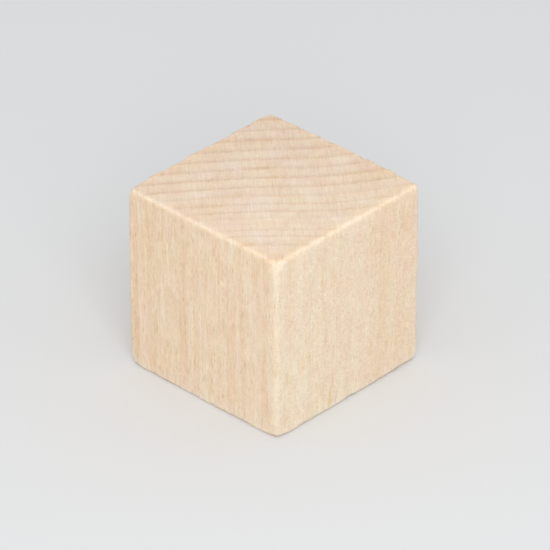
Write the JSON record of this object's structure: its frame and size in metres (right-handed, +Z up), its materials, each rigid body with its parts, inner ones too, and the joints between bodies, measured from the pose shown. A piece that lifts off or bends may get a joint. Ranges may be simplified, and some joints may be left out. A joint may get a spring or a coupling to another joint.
{
  "type": "wooden cube",
  "caption": "Plain unfinished hardwood cube, cut in one piece with upright grain, eased long edges and softened end rims.",
  "frame": {"origin": "centre of the underside, the lower sawn end", "axes": "+Z up along the grain to the upper sawn end; +X and +Y across the grain, square to the planed faces"},
  "size_m": [0.025, 0.025, 0.025],
  "materials": {
    "bare_wood": "bare planed and tumbled pale hardwood, matt, with burnished edges"
  },
  "bodies": {
    "root": {"wooden_cube": "bare_wood"}
  },
  "joints": []
}
